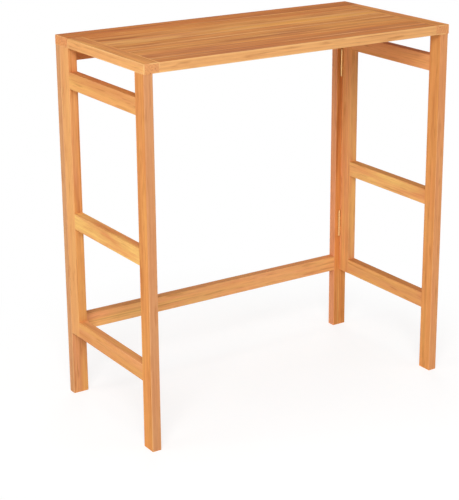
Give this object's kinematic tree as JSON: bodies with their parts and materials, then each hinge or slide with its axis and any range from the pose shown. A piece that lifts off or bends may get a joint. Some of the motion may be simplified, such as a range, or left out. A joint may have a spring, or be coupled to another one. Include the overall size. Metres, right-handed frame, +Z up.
{
  "type": "folding bar table",
  "caption": "Narrow wooden folding table with a hinged top panel and ladder side frames that swing in flat against its back frame.",
  "frame": {"origin": "on the floor at the middle of the table's width and depth", "axes": "+X to the right along the length, +Y to the back frame, +Z up"},
  "size_m": [0.75, 0.368, 0.8],
  "materials": {
    "frame_wood": "oiled hardwood, satin",
    "top_wood": "oiled hardwood, satin",
    "dowel_wood": "plain hardwood, matt",
    "hinge_brass": "plated steel with a brass colour, satin",
    "screw_brass": "plated steel with a brass colour, satin"
  },
  "bodies": {
    "back_frame": {"back_frame_screws": "screw_brass", "left_lower_hinge_fixed_leaf": "hinge_brass", "left_lower_hinge_pin": "hinge_brass", "left_upper_hinge_fixed_leaf": "hinge_brass", "left_upper_hinge_pin": "hinge_brass", "rail_dowels": "dowel_wood", "rail_hinge_screws": "screw_brass", "rear_apron": "frame_wood", "rear_rail": "top_wood", "rear_stile_left": "frame_wood", "rear_stile_right": "frame_wood", "rear_stretcher": "frame_wood", "right_lower_hinge_fixed_leaf": "hinge_brass", "right_lower_hinge_pin": "hinge_brass", "right_upper_hinge_fixed_leaf": "hinge_brass", "right_upper_hinge_pin": "hinge_brass", "top_hinge_left_pin": "hinge_brass", "top_hinge_left_rail_leaf": "hinge_brass", "top_hinge_right_pin": "hinge_brass", "top_hinge_right_rail_leaf": "hinge_brass"},
    "top_panel": {"breadboard_left": "top_wood", "breadboard_right": "top_wood", "panel_hinge_screws": "screw_brass", "top_hinge_left_panel_leaf": "hinge_brass", "top_hinge_right_panel_leaf": "hinge_brass", "top_slat_1": "top_wood", "top_slat_2": "top_wood", "top_slat_3": "top_wood", "top_slat_4": "top_wood", "top_slat_5": "top_wood", "top_slat_6": "top_wood", "top_slat_7": "top_wood", "top_slat_8": "top_wood"},
    "left_frame": {"left_frame_screws": "screw_brass", "left_front_leg": "frame_wood", "left_lower_hinge_moving_leaf": "hinge_brass", "left_rung_bottom": "frame_wood", "left_rung_middle": "frame_wood", "left_rung_top": "frame_wood", "left_side_stile": "frame_wood", "left_upper_hinge_moving_leaf": "hinge_brass"},
    "right_frame": {"right_frame_screws": "screw_brass", "right_front_leg": "frame_wood", "right_lower_hinge_moving_leaf": "hinge_brass", "right_rung_bottom": "frame_wood", "right_rung_middle": "frame_wood", "right_rung_top": "frame_wood", "right_side_stile": "frame_wood", "right_upper_hinge_moving_leaf": "hinge_brass"}
  },
  "joints": [
    {"name": "left_frame_swing", "type": "hinge", "parent": "back_frame", "child": "left_frame", "pos_m": [-0.3522, 0.1621, 0.4625], "axis": [0, 0, 1], "range_deg": [0, 90]},
    {"name": "right_frame_swing", "type": "hinge", "parent": "back_frame", "child": "right_frame", "pos_m": [0.3522, 0.1621, 0.4625], "axis": [0, 0, -1], "range_deg": [0, 90]},
    {"name": "top_hinge", "type": "hinge", "parent": "back_frame", "child": "top_panel", "pos_m": [0, 0.1285, 0.7781], "axis": [-1, 0, 0], "range_deg": [0, 2]}
  ]
}
